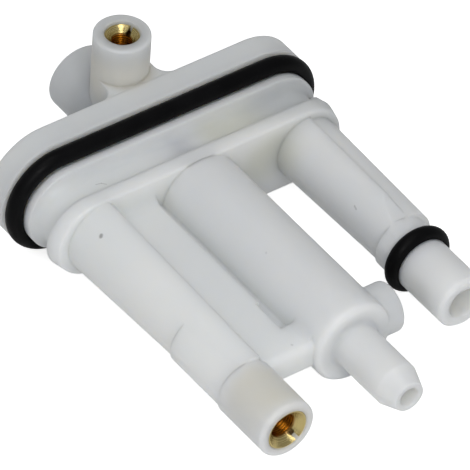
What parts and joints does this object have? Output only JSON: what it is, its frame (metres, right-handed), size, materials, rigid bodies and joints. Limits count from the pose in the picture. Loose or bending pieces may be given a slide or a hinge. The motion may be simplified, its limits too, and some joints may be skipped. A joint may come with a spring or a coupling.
{
  "type": "diverter valve",
  "caption": "Moulded three-way water valve with an oval sealed flange, an inlet nozzle, an outlet spout, a fixing post and a spring-returned spindle.",
  "frame": {"origin": "on the valve axis, in the middle plane of the oval seal ring", "axes": "nozzle, spout and post point to -Y, actuator socket opens to +Y, flange long along X, top boss to +Z"},
  "size_m": [0.0584, 0.0878, 0.0264],
  "materials": {
    "body_plastic": "satin, natural unpigmented moulding, slightly translucent",
    "seal_rubber": "matt black",
    "insert_brass": "turned, bright",
    "cartridge_plastic": "satin, off-white",
    "button_plastic": "satin, dark grey",
    "spindle_steel": "ground stainless steel",
    "spring_steel": "drawn stainless wire"
  },
  "bodies": {
    "housing": {"valve_body": "body_plastic", "cross_channel_plug": "body_plastic", "oval_seal_ring": "seal_rubber", "spout_seal_ring": "seal_rubber", "post_insert": "insert_brass", "top_insert": "insert_brass", "valve_cage": "cartridge_plastic", "cage_seal_ring": "seal_rubber", "gland_bush": "cartridge_plastic", "gland_seal_ring": "seal_rubber", "spindle_seal_ring": "seal_rubber", "snap_ring": "spindle_steel", "spring_washer": "spindle_steel"},
    "plunger": {"spindle": "spindle_steel", "poppet_core": "cartridge_plastic", "poppet_seal": "seal_rubber", "poppet_clip": "spindle_steel", "push_button": "button_plastic", "button_clip": "spindle_steel", "return_spring": "spring_steel"}
  },
  "joints": [
    {"name": "spindle_slide", "type": "slide", "parent": "housing", "child": "plunger", "axis": [0, -1, 0], "range_m": [0, 0.00294], "stiffness_N_per_m": 600, "springref_m": -0.006, "deforming": ["return_spring"]}
  ]
}
